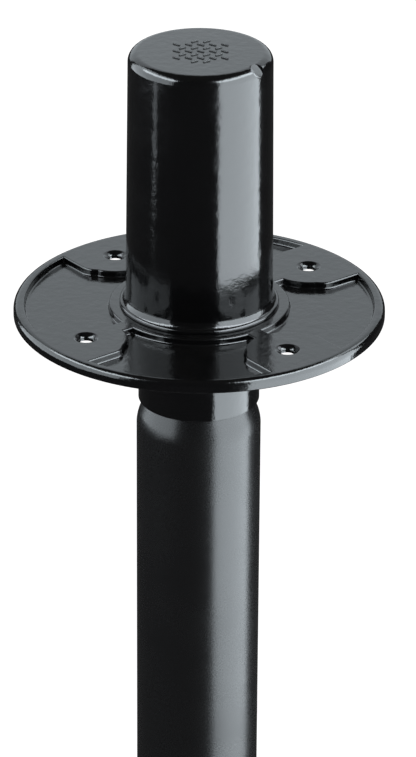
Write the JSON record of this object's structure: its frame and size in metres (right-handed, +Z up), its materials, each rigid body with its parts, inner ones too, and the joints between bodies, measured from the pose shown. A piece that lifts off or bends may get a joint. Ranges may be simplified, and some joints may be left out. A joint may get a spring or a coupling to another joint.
{
  "type": "retractable bollard",
  "caption": "Black cast bollard head on a round anchor flange; its post telescopes out of a buried tube, helped by a gas spring and locked by key-worked bolts.",
  "frame": {"origin": "on the post's axis, in the underside of the cover flange, which is the plane of the pavement", "axes": "+Z up along the axis of the post, -Y towards the front, the key lock at the back on +Y"},
  "size_m": [0.3, 0.3, 0.835],
  "materials": {
    "black_enamel": "thick glossy black coating on a casting, slight orange peel",
    "black_tube_coat": "satin black coating",
    "plain_steel": "turned, lightly oiled",
    "galvanised_steel": "hot-dip zinc, satin",
    "zinc_steel": "bright zinc plate",
    "spring_steel": "phosphated",
    "stainless_steel": "fine turned",
    "hard_chrome": "polished",
    "cylinder_paint": "gloss black paint",
    "brass": "machined",
    "white_acetal": "machined, satin",
    "black_rubber": "moulded, matt"
  },
  "bodies": {
    "ground_unit": {"cover_flange": "black_enamel", "ground_tube": "black_tube_coat", "base_plate": "black_tube_coat", "upper_guide_bush": "white_acetal", "bush_circlip": "spring_steel", "wiper_seal": "black_rubber", "stop_buffer": "black_rubber", "keeper_blocks": "plain_steel", "anti_turn_rail": "plain_steel", "gas_lower_bracket": "zinc_steel", "gas_lower_pin": "zinc_steel", "gas_lower_clips": "spring_steel", "gas_rod": "hard_chrome", "gas_piston": "plain_steel"},
    "head_unit": {"head_casting": "black_enamel", "lower_guide_ring": "white_acetal", "gas_upper_clips": "spring_steel", "foot_gasket": "black_rubber", "gas_upper_bracket": "zinc_steel", "gas_upper_pin": "zinc_steel", "gas_cylinder": "cylinder_paint", "gas_rod_guide": "plain_steel", "shoulder_plug": "black_enamel", "inner_post": "galvanised_steel", "post_flange": "galvanised_steel", "head_screws": "zinc_steel", "centering_ring": "plain_steel", "post_end_plate": "galvanised_steel", "latch_carrier": "plain_steel", "carrier_screws": "zinc_steel", "bracket_screws": "zinc_steel", "guide_plate_screws": "zinc_steel", "rod_guide_plate": "zinc_steel", "lock_housing": "stainless_steel", "cover_pivot": "stainless_steel", "cover_washer": "white_acetal"},
    "lock_unit": {"lock_barrel": "brass", "crank_disc": "zinc_steel"},
    "cover_unit": {"lock_cover": "stainless_steel"},
    "pull_rod_unit": {"pull_rod": "zinc_steel", "rod_yoke": "zinc_steel", "rod_nuts": "zinc_steel", "cam_plate": "plain_steel"},
    "right_bolt_unit": {"latch_bolt_right": "stainless_steel", "latch_pin_right": "plain_steel"},
    "left_bolt_unit": {"latch_bolt_left": "stainless_steel", "latch_pin_left": "plain_steel"}
  },
  "joints": [
    {"name": "head_lift", "type": "slide", "parent": "ground_unit", "child": "head_unit", "axis": [0, 0, 1], "range_m": [0, 0.4]},
    {"name": "key_turn", "type": "hinge", "parent": "head_unit", "child": "lock_unit", "pos_m": [0, 0.05, 0.07], "axis": [0, 1, 0], "range_deg": [0, 90]},
    {"name": "cover_swing", "type": "hinge", "parent": "head_unit", "child": "cover_unit", "pos_m": [0, 0.058, 0.0825], "axis": [0, 1, 0], "range_deg": [0, 110]},
    {"name": "rod_pull", "type": "slide", "parent": "head_unit", "child": "pull_rod_unit", "axis": [0, 0, -1], "range_m": [0, 0.008]},
    {"name": "right_bolt_slide", "type": "slide", "parent": "head_unit", "child": "right_bolt_unit", "axis": [1, 0, 0], "range_m": [0, 0.008]},
    {"name": "left_bolt_slide", "type": "slide", "parent": "head_unit", "child": "left_bolt_unit", "axis": [-1, 0, 0], "range_m": [0, 0.008]}
  ],
  "couplings": [
    {"joint": "key_turn", "follows": "rod_pull", "rad_per_m": 196.35},
    {"joint": "right_bolt_slide", "follows": "rod_pull", "ratio": 1},
    {"joint": "left_bolt_slide", "follows": "rod_pull", "ratio": 1}
  ]
}
